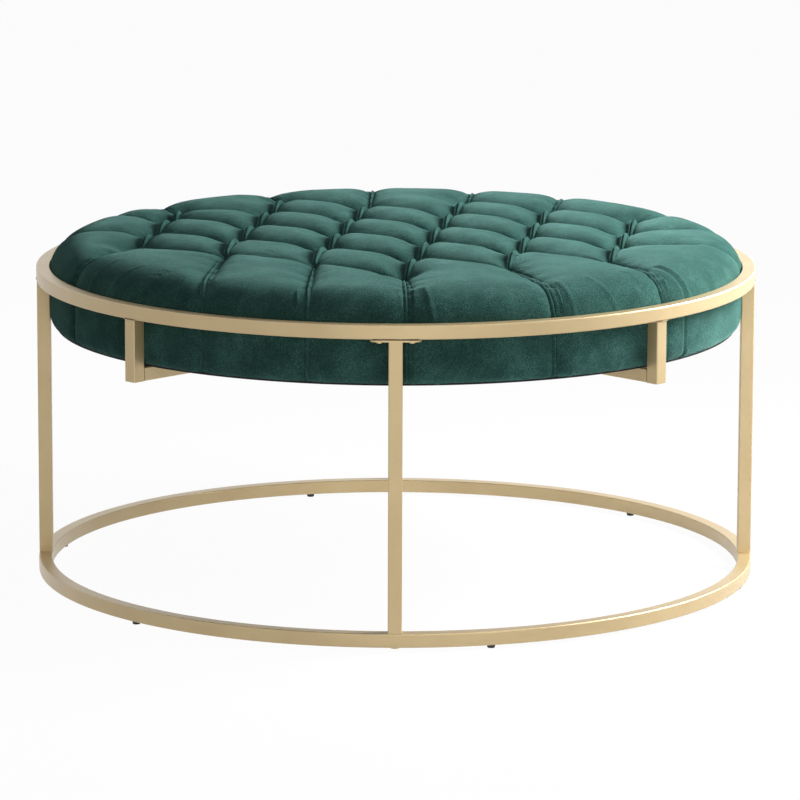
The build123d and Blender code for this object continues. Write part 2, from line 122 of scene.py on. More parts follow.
# Each hollow in the padding: its depth, its reach to the left and to the right, and half its floor's width.
# The long folds run away from the viewer, the short ones across.
LONG_FOLD = (24 * MM, 78 * MM, 56 * MM, 2 * MM)
SHORT_FOLD = (22 * MM, 64 * MM, 64 * MM, 1 * MM)
PLEAT_AT_TUFT = (14 * MM, 60 * MM, 60 * MM, 3 * MM)
PLEAT_AT_RIM = (6 * MM, 34 * MM, 34 * MM, 5 * MM)
PLEAT_ON_WALL = (2.5 * MM, 20 * MM, 20 * MM, 6 * MM)
HOLLOW_BLEND = 4
HOLLOW_END = 24 * MM

# The share of its depth that a long fold loses halfway between two tufts
FOLD_ARCH_SHARE = 0.5

# What each tuft pulls down besides, and how far from it that falls to about a third. The tufts next to the
# front edge are shallower than the others.
TUFT_PULL_DEPTH = 8 * MM
TUFT_PULL_REACH = 20 * MM
SHALLOW_TUFTS = [(-2, -1.5), (-2, -0.5), (-1, 1.5), (0, 2.5)]
SHALLOW_SHARE = 0.4

# The pieces of a pleat from its tuft to the wall, where it stops short of it, and where the rim lies on the
# shoulder as a share of its width
PLEAT_PIECES = 5
PLEAT_STOP = 4 * MM
RIM_SHARE = 0.8

# Sections of the folded cloth that lies in the hollows, as millimetres across and above the cover
FOLD_SECTION = [
    (-6, -3.0), (-4.6, -0.4), (-3.4, 0.9), (-2.6, 1.0), (-2.0, -1.2), (-1.4, -1.2), (-0.6, 1.2), (0.4, 2.2),
    (1.6, 2.4), (2.4, 1.6), (3.0, -0.6), (4.0, -3.0),
]
CROSS_SECTION = [
    (-4.5, -1.5), (-2.6, 0.7), (-1.2, 1.2), (-0.4, 0.4), (0, -0.6), (0.4, 0.3), (1.2, 0.9), (2.6, 0.5),
    (4.5, -1.5),
]
PLEAT_SECTION = [
    (-8, -1.5), (-5, 0.6), (-2.8, 2.0), (-1.4, 2.3), (-0.5, 1.4), (0, -0.8), (0.6, -0.4), (1.6, 0.5),
    (6, 0.6), (10.5, 0.9), (12.2, 1.7), (13.4, 1.4), (15, 0.1), (17, -1.5),
]
SECTION_BACK = -4.0
MIRRORED_PLEATS = [(-2, -0.5)]

# How high the strips of folded cloth rise, their steps, how they start and end, and the share of its width
# that a pleat has at its tuft
FOLD_LIFT = 8 * MM
CROSS_LIFT = 3 * MM
PLEAT_LIFT = 2.5 * MM
STRIP_STEP = 3 * MM
STRIP_LEAST_POINTS = 4
SPLINE_STEPS = 8
STRIP_TAPER = 12 * MM
STRIP_SINK = 3 * MM
STRIP_WIDENING = 48 * MM
PLEAT_START_SHARE = 0.4

# Small wrinkles that fan out from each tuft: height, start, end and number of rays
WRINKLE_HEIGHT = 0.9 * MM
WRINKLE_START = 6 * MM
WRINKLE_END = 48 * MM
WRINKLE_RAYS = (9, 14)
WRINKLE_UNEVEN_SHARE = 0.4
WRINKLE_SEED = 7

# Soft folds that hang down the wall: angle at the rim, angle at the hem and height, below zero for a valley
WALL_FOLDS = [
    (0.6, 2.2, 1.3 * MM),
    (2.2, 1.6, -1.2 * MM),
    (3.0, 2.7, 1.2 * MM),
    (5.0, 6.7, 1.4 * MM),
    (-14.8, -14.8, 0.9 * MM),
    (29.5, 29.0, 0.9 * MM),
    (36.0, 38.5, 0.8 * MM),
    (54.0, 53.6, -1.5 * MM),
    (55.2, 54.6, 1.0 * MM),
    (-52.0, -54.5, 0.8 * MM),
    (-60.0, -58.0, 0.8 * MM),
]
WALL_FOLD_WIDTH = 4 * MM

# Simulated cloth: its grid, the frames it runs for, its weight and stiffness, the width beside each crease
# in which it is held, and the furthest that a point may move
CLOTH_POINTS = 200
CLOTH_FRAMES = 20
CLOTH_QUALITY = 4
CLOTH_MASS = 0.3
CLOTH_STRETCH = 15
CLOTH_SHEAR = 5
CLOTH_BENDING = 10.0
CLOTH_GRIP = 10
CLOTH_PRESSURE = 4.0
HELD_HALF_WIDTH = 2.5 * MM
HELD_FADE = 4 * MM
CLOTH_CAP = 5 * MM
REFINING = 3

# How far the puffs lean to the back left, and the ring in which that fades towards the shoulder
PUFF_LEAN = 5 * MM
LEAN_END = 380 * MM
LEAN_FADE = 60 * MM

# Dust cloth: its grid, sag, the black ring of painted shadow below the velvet's lower roll, and staples
DUST_RINGS = 60
DUST_SPOKES = 240
DUST_CLEARANCE = 0.3 * MM
DUST_SAG = 1.6 * MM
SHADOW_RING_TUBE_RADIUS = 1.5 * MM
SHADOW_RING_INSET_SHARE = 0.6
SHADOW_RING_SPOKES = 360
SHADOW_RING_SIDES = 10
STAPLE_COUNT = 56
STAPLE_LENGTH = 11 * MM
STAPLE_WIRE = 0.6 * MM
STAPLE_INSET = 10 * MM

# Weld fillets, dark strips of painted shadow in the gaps above the leg plates, and the points of their round
# stretches
WELD_SIZE = 2 * MM
WELD_ARC_POINTS = 7
WELD_POINTS = 48
WELD_SQUARENESS = 12
GAP_SHADOW_INSET = 0.2 * MM
GAP_SHADOW_END_SHARE = 1 / 3
BAR_END_POINTS = 13

# Light: the surround as a light and as it is seen, the white share of the floor, each lamp's place, size and
# power, and the overhead light
SURROUND_LIGHT = 0.15
SURROUND_SEEN = 1.05
FLOOR_WHITE_SHARE = 0.96
FLOOR_HALF = 15.0
LAMPS = {
    "key_lamp": ((1.3, 0.0, 1.05), 0.7, 54),
    "front_lamp": ((0.5, -3.4, 0.9), 2.4, 26),
}
OVERHEAD_POWER = 0.2
OVERHEAD_SPREAD = 60
OVERHEAD_TILT = (15, 10)


def linear(hex_colour):
    """An sRGB hex colour as linear red, green, blue and alpha."""
    shares = [int(hex_colour[place:place + 2], 16) / 255 for place in (1, 3, 5)]
    return tuple(s / 12.92 if s <= 0.04045 else ((s + 0.055) / 1.055) ** 2.4 for s in shares) + (1.0,)


def add(tree, kind, inputs=None, **settings):
    """Add a shader node with its settings; an input is a value, or the socket that feeds it."""
    node = tree.nodes.new("ShaderNode" + kind)
    for name, value in settings.items():
        setattr(node, name, value)
    for name, value in (inputs or {}).items():
        if isinstance(value, bpy.types.NodeSocket):
            tree.links.new(value, node.inputs[name])
        else:
            node.inputs[name].default_value = value
    return node


def new_material(name):
    """An empty material and its node tree, with the output node in place."""
    material = bpy.data.materials.new(name)
    material.use_nodes = True
    material.node_tree.nodes.clear()
    return material, material.node_tree


def ramp(tree, factor, stops):
    """A colour ramp with its stops given as place and hex colour."""
    node = add(tree, "ValToRGB", {"Fac": factor})
    band = node.color_ramp
    while len(band.elements) < len(stops):
        band.elements.new(0.5)
    for element, (place, colour) in zip(band.elements, stops):
        element.position = place
        element.color = linear(colour)
    return node.outputs["Color"]


def noise(tree, where, size, detail=3.0, roughness=0.5):
    """Noise whose features are about `size` metres across."""
    inputs = {"Vector": where, "Scale": 1 / size, "Detail": detail, "Roughness": roughness}
    return add(tree, "TexNoise", inputs)


def between(tree, value, low, high):
    """Spread a 0 to 1 value between two levels."""
    return add(tree, "MapRange", {"Value": value, "To Min": low, "To Max": high}).outputs["Result"]


def close(tree, shader):
    """Lead a shader to the material's output."""
    add(tree, "OutputMaterial", {"Surface": shader.outputs[0]})


def champagne_paint():
    """Champagne gold lacquer over finely brushed steel: satin, warm, with faint lines along each tube.

    The real lines are finer than a millimetre; they are drawn coarser, so that they show.
    """
    material, tree = new_material("champagne_gold_lacquer")
    where = add(tree, "TexCoord").outputs["Object"]
    cloud = noise(tree, where, 60 * MM).outputs["Fac"]
    brushed = add(tree, "Mapping", {"Vector": where, "Scale": (1.0, 1.0, 0.08)}).outputs["Vector"]
    lines = noise(tree, brushed, 1.2 * MM, 2.0, 0.6).outputs["Fac"]
    colour = ramp(tree, cloud, [(0.3, "#BCA57A"), (0.7, "#C2AC81")])
    rough = between(tree, lines, 0.34, 0.44)
    bump = add(tree, "Bump", {"Height": lines, "Strength": 0.06, "Distance": 0.2 * MM}).outputs["Normal"]
    close(tree, add(tree, "BsdfPrincipled", {
        "Base Color": colour, "Metallic": 0.55, "Roughness": rough, "Coat Weight": 0.5, "Coat Roughness": 0.4,
        "Normal": bump,
    }))
    return material


def plated_steel(name, light, dark):
    """Plated steel screws and inserts: smooth turned metal with slight clouding."""
    material, tree = new_material(name)
    where = add(tree, "TexCoord").outputs["Object"]
    cloud = noise(tree, where, 4 * MM).outputs["Fac"]
    colour = ramp(tree, cloud, [(0.35, dark), (0.65, light)])
    close(tree, add(tree, "BsdfPrincipled", {
        "Base Color": colour, "Metallic": 1.0, "Roughness": between(tree, cloud, 0.24, 0.36),
    }))
    return material


def black_nylon():
    """Moulded black nylon glides: matte, with a fine spark-eroded texture."""
    material, tree = new_material("moulded_black_nylon")
    where = add(tree, "TexCoord").outputs["Object"]
    grit = noise(tree, where, 0.5 * MM).outputs["Fac"]
    bump = add(tree, "Bump", {"Height": grit, "Strength": 0.2, "Distance": 0.1 * MM}).outputs["Normal"]
    colour = ramp(tree, grit, [(0.3, "#161616"), (0.7, "#222222")])
    close(tree, add(tree, "BsdfPrincipled", {
        "Base Color": colour, "Roughness": 0.6, "IOR": 1.53, "Normal": bump,
    }))
    return material


def teal_velvet():
    """Deep teal polyester velvet: short dense pile that is dark seen into and pale at a slant.

    The pile's lay changes in soft patches, and single tufts of it sparkle. Real tufts of pile stand under a
    millimetre apart; they are drawn at 2 mm, so that they show.
    """
    material, tree = new_material("teal_pile_velvet")
    where = add(tree, "TexCoord").outputs["Object"]
    lay = noise(tree, where, 45 * MM, 3.0, 0.6).outputs["Fac"]
    pile = noise(tree, where, 2.0 * MM, 2.0, 0.8).outputs["Fac"]
    mottled = add(tree, "Mix", {0: 0.6, 2: lay, 3: pile}).outputs[0]
    colour = ramp(tree, mottled, [(0.34, "#1B3631"), (0.5, "#2A4843"), (0.66, "#40665F")])
    bump = add(tree, "Bump", {"Height": pile, "Strength": 0.9, "Distance": 1.0 * MM}).outputs["Normal"]
    close(tree, add(tree, "BsdfPrincipled", {
        "Base Color": colour, "Roughness": 0.8, "IOR": 1.4, "Specular IOR Level": 0.0,
        "Sheen Weight": 0.4, "Sheen Roughness": 0.4, "Sheen Tint": linear("#98CEC5"), "Normal": bump,
    }))
    return material


def plain_cloth(name, light, dark, thread):
    """Woven or felted cloth with threads about `thread` metres apart, drawn as crossed fine noise."""
    material, tree = new_material(name)
    where = add(tree, "TexCoord").outputs["Object"]
    along = add(tree, "Mapping", {"Vector": where, "Scale": (1.0, 0.15, 1.0)}).outputs["Vector"]
    over = add(tree, "Mapping", {"Vector": where, "Scale": (0.15, 1.0, 1.0)}).outputs["Vector"]
    warp = noise(tree, along, thread).outputs["Fac"]
    weft = noise(tree, over, thread).outputs["Fac"]
    weave = add(tree, "Math", {0: warp, 1: weft}, operation="MULTIPLY").outputs[0]
    colour = ramp(tree, weave, [(0.15, dark), (0.4, light)])
    bump = add(tree, "Bump", {"Height": weave, "Strength": 0.3, "Distance": 0.2 * MM}).outputs["Normal"]
    close(tree, add(tree, "BsdfPrincipled", {"Base Color": colour, "Roughness": 0.9, "Normal": bump}))
    return material


def birch_plywood():
    """Raw birch plywood: long pale grain with darker streaks."""
    material, tree = new_material("birch_plywood")
    where = add(tree, "TexCoord").outputs["Object"]
    along = add(tree, "Mapping", {"Vector": where, "Scale": (1.0, 0.06, 1.0)}).outputs["Vector"]
    grain = noise(tree, along, 3 * MM, 4.0, 0.6).outputs["Fac"]
    colour = ramp(tree, grain, [(0.3, "#B98F5C"), (0.7, "#D9BC8C")])
    rough = between(tree, grain, 0.5, 0.7)
    close(tree, add(tree, "BsdfPrincipled", {"Base Color": colour, "Roughness": rough}))
    return material


def cover_profile():
    """The plain cover's section as reach along the cloth, radius and height.

    From the centre out: a parabola for the crown, a quarter ellipse for the shoulder, the upright wall,
    a quarter circle for the lower roll and the flat hem underneath.
    """
    start = COVER_RADIUS - SHOULDER_WIDTH
    turn = np.linspace(0, np.pi / 2, SHOULDER_POINTS)[1:]
    out = np.linspace(0, start, CROWN_POINTS)
    down = np.linspace(CREST - CROWN_RISE - SHOULDER_DROP, COVER_BOTTOM + LOWER_ROUNDING, WALL_POINTS)[1:]
    under = np.linspace(0, HEM_WIDTH, HEM_POINTS)[1:]
    radius = np.concatenate([
        out,
        start + SHOULDER_WIDTH * np.sin(turn),
        np.full(len(down), COVER_RADIUS),
        COVER_RADIUS - LOWER_ROUNDING * (1 - np.cos(turn)),
        COVER_RADIUS - LOWER_ROUNDING - under,
    ])
    height = np.concatenate([
        CREST - CROWN_RISE * (out / start) ** 2,
        CREST - CROWN_RISE - SHOULDER_DROP * (1 - np.cos(turn)),
        down,
        COVER_BOTTOM + LOWER_ROUNDING * (1 - np.sin(turn)),
        np.full(len(under), COVER_BOTTOM),
    ])
    reach = np.concatenate([[0], np.cumsum(np.hypot(np.diff(radius), np.diff(height)))])
    return reach, radius, height


def cloth_plan(points):
    """Reach and angle of a square grid laid on the round cloth.

    Each square ring of the grid becomes a circle: its reach is the larger of the two coordinates, and the
    angle runs evenly along each side of the square, so all the cells are about the same size.
    """
    line = np.linspace(-1, 1, points)
    u, v = np.meshgrid(line, line, indexing="ij")
    wide = abs(u) >= abs(v)
    flat = np.pi / 4 * v / np.where(u == 0, 1, u) + np.where(u < 0, np.pi, 0)
    steep = np.pi / 2 - np.pi / 4 * u / np.where(v == 0, 1, v) + np.where(v < 0, np.pi, 0)
    return np.maximum(abs(u), abs(v)) * REACH[-1], np.where(wide, flat, steep)


def tuft_places():
    """Plan place of each tuft on the cloth, keyed by its row and column.

    It is the middle, plus the row times one side of the diamond, plus the column times the other side.
    """
    turn, short_turn = radians(DIAMOND_TURN), radians(DIAMOND_TURN - DIAMOND_SKEW)
    half_long = np.array([-sin(turn), cos(turn)]) * DIAMOND_LENGTH / 2
    half_short = np.array([cos(short_turn), sin(short_turn)]) * DIAMOND_WIDTH / 2
    places = {}
    for row, (first, last) in TUFT_COLUMNS.items():
        for column in np.arange(first, last + 1):
            move = np.array(TUFT_MOVES.get((row, column), (0, 0)))
            across = (half_short - half_long) * column
            places[row, column] = np.array(TUFT_MIDDLE) + (half_short + half_long) * row + across + move
    return places


def outwards(angle):
    """Unit vector on the plan at an angle from the front leg."""
    return np.array([sin(radians(angle)), -cos(radians(angle))])


def tuft_share(tuft):
    """How deep a tuft is, as a share of the full depth."""
    return SHALLOW_SHARE if tuft in SHALLOW_TUFTS else 1


def creases():
    """Every line that the cloth is drawn in along: start, end, the hollow's sizes at both, if it is long."""
    lines = []
    for tuft, start in TUFTS.items():
        row, column = tuft
        for other, sizes in (((row + 1, column), LONG_FOLD), ((row, column + 1), SHORT_FOLD)):
            if other in TUFTS:
                ends = [(sizes[0] * tuft_share(end), *sizes[1:]) for end in (tuft, other)]
                lines.append((start, TUFTS[other], *ends, sizes is LONG_FOLD))
    for tuft, angle in PLEAT_ANGLES.items():
        path = pleat_path(tuft, angle)
        steps = [
            tuple(a + (b - a) * step / PLEAT_PIECES for a, b in zip(PLEAT_AT_TUFT, PLEAT_AT_RIM))
            for step in range(PLEAT_PIECES + 1)
        ]
        lines += [(*line, False) for line in zip(path[:-1], path[1:], steps[:-1], steps[1:])]
        lines.append((path[-1], outwards(angle) * REACH[-1], PLEAT_AT_RIM, PLEAT_ON_WALL, False))
    return lines


def reach_at(radius):
    """Reach along the cloth at a radius on the cover's top."""
    return np.interp(radius, RADIUS[:TOP_POINTS], REACH[:TOP_POINTS])


def pleat_path(tuft, angle):
    """Points of a pleat on the cloth: seen from above it runs straight from its tuft to the top of the wall."""
    start = TUFTS[tuft]
    end = outwards(angle) * (COVER_RADIUS - PLEAT_STOP)
    points = []
    for share in np.linspace(0, 1, PLEAT_PIECES + 1):
        place = start + (end - start) * share
        radius = np.hypot(*place)
        points.append(place / radius * reach_at(radius))
    return points


def beside(x, y, start, end):
    """Share along a line, distance from it and how far to its right, from -1 to 1, for every plan point."""
    run = end - start
    share = np.clip(((x - start[0]) * run[0] + (y - start[1]) * run[1]) / (run @ run), 0, 1)
    distance = np.hypot(x - start[0] - share * run[0], y - start[1] - share * run[1])
    right = ((x - start[0]) * run[1] - (y - start[1]) * run[0]) / np.hypot(*run)
    return share, distance, right / np.maximum(distance, LEAST_LENGTH)


def hollow(x, y):
    """How far the padding is drawn in below the plain cover.

    Each crease has a flat floor. Beside it the depth falls off as a circle's arc, steep at the floor and level
    at its reach. A long fold rises between its tufts as a half sine, and on its left the depth falls off more
    gently, as a parabola. The hollows blend as the fourth root of the sum of their fourth powers, and each tuft
    adds an exponential. All of it ends above the lower roll.
    """
    total = np.zeros_like(x)
    for start, end, first, last, long_fold in CREASES:
        share, distance, right = beside(x, y, start, end)
        depth, left_reach, right_reach, floor = (a + (b - a) * share for a, b in zip(first, last))
        reach = left_reach + (right_reach - left_reach) * (right + 1) / 2
        q = np.clip((distance - floor) / (reach - floor), 0, 1)
        fall = 1 - np.sqrt(1 - (1 - q) ** 2)
        if long_fold:
            depth = depth * (1 - FOLD_ARCH_SHARE * np.sin(np.pi * share))
            fall = (1 - q) ** 2 + (fall - (1 - q) ** 2) * (right + 1) / 2
        total += (depth * fall) ** HOLLOW_BLEND
    total **= 1 / HOLLOW_BLEND
    for tuft, place in TUFTS.items():
        distance = np.hypot(x - place[0], y - place[1])
        total += TUFT_PULL_DEPTH * tuft_share(tuft) * np.exp(-distance / TUFT_PULL_REACH)
    return total * np.clip((REACH[-1] - HEM_WIDTH - np.hypot(x, y)) / HOLLOW_END, 0, 1)


def wrinkles(x, y):
    """Height of the fine wrinkles on the top and of the soft folds on the wall.

    Round each tuft stand rays: a sine of the turn round it, made uneven by a slower sine. Along a ray the
    height goes as the root of the share of its length times the cube of what is left, three times over.
    A fold on the wall is a bell curve across its line.
    """
    chance = np.random.default_rng(WRINKLE_SEED)
    total = np.zeros_like(x)
    for place in TUFTS.values():
        along, across = x - place[0], y - place[1]
        share = np.clip((np.hypot(along, across) - WRINKLE_START) / (WRINKLE_END - WRINKLE_START), 0, 1)
        turn = np.arctan2(across, along)
        rays = chance.integers(*WRINKLE_RAYS)
        waves = np.sin(rays * turn + chance.uniform(0, 6))
        waves *= 1 - WRINKLE_UNEVEN_SHARE * (1 - np.sin(3 * turn + chance.uniform(0, 6)))
        total += WRINKLE_HEIGHT * waves * 3 * np.sqrt(share) * (1 - share) ** 3
    for first, last, height in WALL_FOLDS:
        distance = beside(x, y, outwards(first) * RIM_REACH, outwards(last) * (REACH[-1] - HEM_WIDTH))[1]
        total += height * np.exp(-(distance / WALL_FOLD_WIDTH) ** 2)
    return total


def on_section(reach, angle, depth):
    """Points at a reach and angle, moved inwards from the plain cover by a depth."""
    along = np.gradient(RADIUS, REACH), np.gradient(HEIGHT, REACH)
    radius = np.interp(reach, REACH, RADIUS) + depth * np.interp(reach, REACH, along[1])
    height = np.interp(reach, REACH, HEIGHT) - depth * np.interp(reach, REACH, along[0])
    return np.stack([radius * np.sin(angle), -radius * np.cos(angle), height], -1)


def grid_faces(rows, columns):
    """Quads of a grid of points numbered row by row."""
    corner = np.arange(rows - 1)[:, None] * columns + np.arange(columns - 1)[None, :]
    return np.stack([corner, corner + columns, corner + columns + 1, corner + 1], -1).reshape(-1, 4)


def new_piece(name, points, faces, smooth=True):
    """A mesh object with its points in place and its object at the origin."""
    mesh = bpy.data.meshes.new(name)
    mesh.from_pydata(np.asarray(points).reshape(-1, 3).tolist(), [], [list(map(int, face)) for face in faces])
    mesh.polygons.foreach_set("use_smooth", [smooth] * len(mesh.polygons))
    mesh.update()
    piece = bpy.data.objects.new(name, mesh)
    bpy.context.scene.collection.objects.link(piece)
    return piece


def positions(mesh):
    """A mesh's points as an array."""
    flat = np.zeros(len(mesh.vertices) * 3)
    mesh.vertices.foreach_get("co", flat)
    return flat.reshape(-1, 3)


def held(reach, x, y):
    """How firmly each point of the cloth is held: 1 in the creases and under the wall, 0 on the puffs."""
    grip = np.clip((reach - (REACH[-1] - HEM_WIDTH - LOWER_ROUNDING)) / LOWER_ROUNDING, 0, 1)
    for start, end, *_ in CREASES:
        distance = beside(x, y, start, end)[1]
        grip = np.maximum(grip, np.clip(1 - (distance - HELD_HALF_WIDTH) / HELD_FADE, 0, 1))
    return grip


def weigh(piece, name, weights):
    """A vertex group with rounded weights."""
    group = piece.vertex_groups.new(name=name)
    rounded = np.round(weights, 1)
    for value in np.unique(rounded[rounded > 0]):
        group.add(np.nonzero(rounded == value)[0].tolist(), float(value), "REPLACE")


def cloth_moves(points, reach, x, y):
    """How the filled cloth moves from its rest shape when simulation blows it up between its creases.

    The cloth's edge and its creases are held, and no point moves further than the cap.
    """
    piece = new_piece("cloth_rest", points, grid_faces(CLOTH_POINTS, CLOTH_POINTS))
    weigh(piece, "held", held(reach, x, y).ravel())
    modifier = piece.modifiers.new("cloth", "CLOTH")
    cloth = modifier.settings
    cloth.quality = CLOTH_QUALITY
    cloth.mass = CLOTH_MASS
    cloth.tension_stiffness = CLOTH_STRETCH
    cloth.compression_stiffness = CLOTH_STRETCH
    cloth.shear_stiffness = CLOTH_SHEAR
    cloth.bending_stiffness = CLOTH_BENDING
    cloth.vertex_group_mass = "held"
    cloth.pin_stiffness = CLOTH_GRIP
    cloth.use_pressure = True
    cloth.uniform_pressure_force = CLOTH_PRESSURE
    cloth.effector_weights.gravity = 0
    modifier.collision_settings.use_collision = False
    modifier.point_cache.frame_end = CLOTH_FRAMES
    for step in range(1, CLOTH_FRAMES + 1):
        bpy.context.scene.frame_set(step)
    depsgraph = bpy.context.evaluated_depsgraph_get()
    move = positions(bpy.data.meshes.new_from_object(piece.evaluated_get(depsgraph))) - points.reshape(-1, 3)
    bpy.data.objects.remove(piece)
    bpy.context.scene.frame_set(1)
    length = np.linalg.norm(move, axis=1, keepdims=True)
    return (move * np.minimum(1, CLOTH_CAP / np.maximum(length, LEAST_LENGTH))).reshape(points.shape)


def finer(values, times):
    """Values made denser along their first axis by a Catmull-Rom spline."""
    count = len(values)
    place = np.linspace(0, count - 1, (count - 1) * times + 1)
    base = np.minimum(place.astype(int), count - 2)
    t = (place - base).reshape(-1, *[1] * (values.ndim - 1))
    before, here, after, beyond = (values[np.clip(base + step, 0, count - 1)] for step in (-1, 0, 1, 2))
    return 0.5 * (
        2 * here
        + (after - before) * t
        + (2 * before - 5 * here + 4 * after - beyond) * t**2
        + (3 * here - before - 3 * after + beyond) * t**3
    )


def finer_grid(values, times):
    """A grid of values made denser by a Catmull-Rom spline, first down its rows and then along them."""
    columns = np.moveaxis(finer(values, times), 1, 0)
    return np.moveaxis(finer(columns, times), 0, 1)


def cover_points(count, fine):
    """The tufted cover on a square grid: drawn in at its creases, with each puff leaning to the back left.

    The lean is the square of the share of a short fold's depth by which a point stands above that depth, and
    it fades evenly to nothing towards the shoulder.
    """
    reach, angle = cloth_plan(count)
    x, y = reach * np.sin(angle), -reach * np.cos(angle)
    depth = hollow(x, y)
    height = wrinkles(x, y) if fine else 0
    points = on_section(reach, angle, depth - height)
    puff = np.clip(1 - depth / SHORT_FOLD[0], 0, 1) ** 2 * np.clip((LEAN_END - reach) / LEAN_FADE, 0, 1)
    points[..., :2] += puff[..., None] * LEAN_WAY * PUFF_LEAN
    return points, reach, x, y


def cushion_grid():
    """The filled cover as a fine square grid of points, kept inside the ring."""
    coarse, reach, x, y = cover_points(CLOTH_POINTS, False)
    grid = cover_points((CLOTH_POINTS - 1) * REFINING + 1, True)[0]
    grid += finer_grid(cloth_moves(coarse, reach, x, y), REFINING)
    radius = np.hypot(grid[..., 0], grid[..., 1])
    grid[..., :2] *= np.minimum(1, (RING_INNER - RING_CLEARANCE) / radius)[..., None]
    return grid


def tufted_cushion(grid):
    """The filled velvet cover as one closed form, from the tufted top to the hem and across below."""
    count = len(grid)
    number = np.arange(count * count).reshape(count, count)
    edge = np.concatenate([number[0, :-1], number[:-1, -1], number[-1, :0:-1], number[:0:-1, 0]])
    centre = count * count
    faces = grid_faces(count, count).tolist()
    faces += [[centre, int(b), int(a)] for a, b in zip(edge, np.roll(edge, -1))]
    return new_piece("tufted_velvet_cushion", np.vstack([grid.reshape(-1, 3), [0, 0, COVER_BOTTOM]]), faces)


def on_grid(grid, x, y):
    """Points of the fine grid at plan places, blended from the four corners of the cell each falls in.

    It undoes cloth_plan: the side of the square follows from the angle, and the share from the reach.
    """
    turn = np.mod(np.arctan2(x, -y) + np.pi / 4, 2 * np.pi)
    side = (turn // (np.pi / 2)).astype(int)
    off = (turn - side * np.pi / 2) * 4 / np.pi - 1
    share = np.clip(np.hypot(x, y) / REACH[-1], 0, 1)
    u = share * np.choose(side, [1, -off, -1, off])
    v = share * np.choose(side, [off, 1, -off, -1])
    column, row = ((w + 1) / 2 * (len(grid) - 1) for w in (v, u))
    i, j = (np.minimum(w.astype(int), len(grid) - 2) for w in (row, column))
    s, t = (row - i)[..., None], (column - j)[..., None]
    near = grid[i, j] * (1 - s) + grid[i + 1, j] * s
    far = grid[i, j + 1] * (1 - s) + grid[i + 1, j + 1] * s
    return near * (1 - t) + far * t


def evenly(path):
    """Plan points every few millimetres along a line of points, on a Catmull-Rom spline through them."""
    fine = finer(np.array(path), SPLINE_STEPS) if len(path) > 2 else np.array(path)
    length = np.concatenate([[0], np.cumsum(np.hypot(*np.diff(fine, axis=0).T))])
    place = np.linspace(0, length[-1], max(int(length[-1] / STRIP_STEP), STRIP_LEAST_POINTS))
    return np.stack([np.interp(place, length, fine[:, k]) for k in (0, 1)], -1), length[-1]


def strip(grid, path, section, side, start_share, lift):
    """One strip of folded cloth along a path on the plan, as the points of a closed section at each step.

    Each section stands on the cover at the path: its offsets go across the path on the level, its heights go
    the plain cover's outward way. The strip widens evenly from a share of its width at its start. Lift raises
    it along a half sine, and its heights sink away at both ends.
    """
    line, length = evenly(path)
    share = np.linspace(0, 1, len(line))[:, None]
    run = np.gradient(line, axis=0)
    across = np.stack([run[:, 1], -run[:, 0], 0 * run[:, 0]], -1) / np.hypot(*run.T)[:, None] * side
    offsets, heights = np.array(section).T * MM
    offsets = np.concatenate([offsets, offsets[::-1]])
    heights = np.concatenate([heights, np.full(len(section), SECTION_BACK * MM)])
    width = start_share + (1 - start_share) * np.clip(share * length / STRIP_WIDENING, 0, 1)
    x, y = line[:, :1], line[:, 1:]
    taper = np.clip(share * length / STRIP_TAPER, 0, 1) * np.clip((1 - share) * length / STRIP_TAPER, 0, 1)
    raised = (heights + STRIP_SINK) * taper - STRIP_SINK + lift * np.sin(np.pi * share)
    reach, angle = np.hypot(x, y), np.arctan2(x, -y)
    outward = on_section(reach, angle, -1) - on_section(reach, angle, 0)
    sideways = across[:, None, :] * (offsets * width)[..., None]
    return on_grid(grid, x, y) + sideways + outward * raised[..., None]


def tube_faces(rings, points, first):
    """Quads round a closed tube of rings with this many points each, and its two ends."""
    ring, point = np.meshgrid(np.arange(rings - 1), np.arange(points), indexing="ij")
    a = first + ring * points + point
    b = first + ring * points + (point + 1) % points
    sides = np.stack([a, b, b + points, a + points], -1).reshape(-1, 4).tolist()
    last = first + (rings - 1) * points
    return sides + [list(range(first + points - 1, first - 1, -1)), list(range(last, last + points))]


def strips_piece(name, strips):
    """Several closed strips as one piece."""
    faces, first = [], 0
    for points in strips:
        faces += tube_faces(points.shape[0], points.shape[1], first)
        first += points.shape[0] * points.shape[1]
    return new_piece(name, np.vstack([points.reshape(-1, 3) for points in strips]), faces)


def fold_strips(grid):
    """The folded cloth between the tufts: flat strips in the long rows, tight creases in the short ones."""
    strips = []
    for (row, column), start in TUFTS.items():
        if (row + 1, column) in TUFTS:
            strips.append(strip(grid, [start, TUFTS[row + 1, column]], FOLD_SECTION, 1, 1, FOLD_LIFT))
        if (row, column + 1) in TUFTS:
            strips.append(strip(grid, [start, TUFTS[row, column + 1]], CROSS_SECTION, 1, 1, CROSS_LIFT))
    return strips_piece("velvet_folds", strips)


def pleat_strips(grid):
    """The pleats that run from the outer tufts over the shoulder and down the wall."""
    strips = []
    for tuft, angle in PLEAT_ANGLES.items():
        side = 1 if tuft in MIRRORED_PLEATS else -1
        path = pleat_path(tuft, angle) + [outwards(angle) * (REACH[-1] - HEM_WIDTH)]
        strips.append(strip(grid, path, PLEAT_SECTION, side, PLEAT_START_SHARE, PLEAT_LIFT))
    return strips_piece("velvet_pleats", strips)


